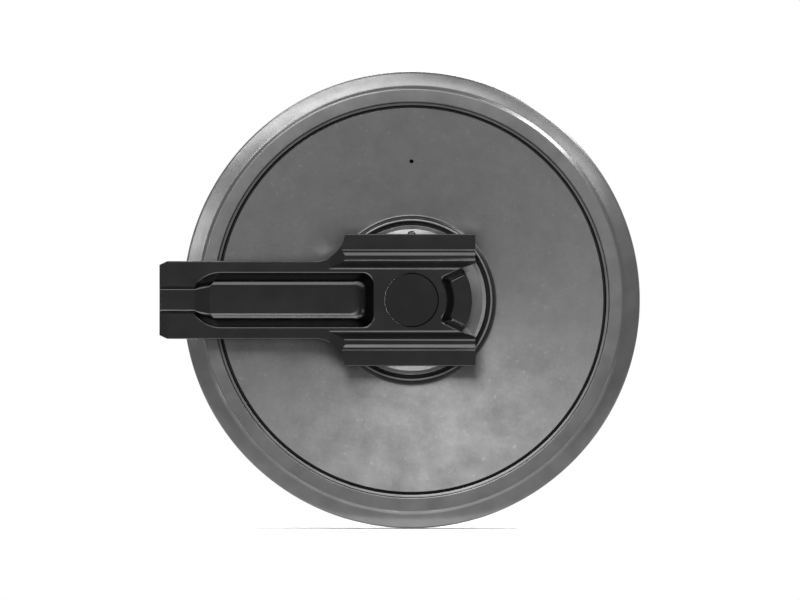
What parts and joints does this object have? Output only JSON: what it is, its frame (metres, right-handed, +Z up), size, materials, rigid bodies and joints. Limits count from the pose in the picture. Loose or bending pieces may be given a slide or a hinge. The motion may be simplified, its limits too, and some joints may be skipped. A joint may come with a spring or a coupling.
{
  "type": "excavator front idler",
  "caption": "Track idler wheel with raised centre guide flange, turning on a fixed axle held by two long-armed guide brackets.",
  "frame": {"origin": "wheel centre, on the axle's axis in the wheel's middle plane", "axes": "+Y along the axle from front to rear, +Z up, bracket arms towards -X (the recoil spring's side), front of the wheel towards +X"},
  "size_m": [0.63, 0.284, 0.6],
  "materials": {
    "cast_grey": "as-cast and turned steel, mottled grey, satin",
    "machined_steel": "turned, bright",
    "seal_iron": "lapped seal faces",
    "axle_steel": "ground, painted black on its ends",
    "pin_steel": "dark oxide",
    "black_paint": "near-black satin paint on cast iron",
    "bronze": "turned bearing bronze",
    "copper": "soft copper",
    "rubber": "moulded"
  },
  "bodies": {
    "carrier": {"axle": "axle_steel", "bracket_front": "black_paint", "bracket_rear": "black_paint", "lock_pin_front": "pin_steel", "lock_pin_rear": "pin_steel", "axle_o_ring_front": "rubber", "axle_o_ring_rear": "rubber", "stationary_seal_ring_front": "seal_iron", "stationary_seal_ring_rear": "seal_iron", "stationary_toric_front": "rubber", "stationary_toric_rear": "rubber", "oil_plug": "pin_steel", "plug_washer": "copper"},
    "wheel": {"rim": "cast_grey", "web_plate_front": "cast_grey", "web_plate_rear": "cast_grey", "hub": "cast_grey", "bushing_front": "bronze", "bushing_rear": "bronze", "seal_housing_front": "machined_steel", "seal_housing_rear": "machined_steel", "rotating_seal_ring_front": "seal_iron", "rotating_seal_ring_rear": "seal_iron", "rotating_toric_front": "rubber", "rotating_toric_rear": "rubber"}
  },
  "joints": [
    {"name": "wheel_spin", "type": "hinge", "parent": "carrier", "child": "wheel", "pos_m": [0, 0, 0], "axis": [0, 1, 0], "continuous": true}
  ]
}
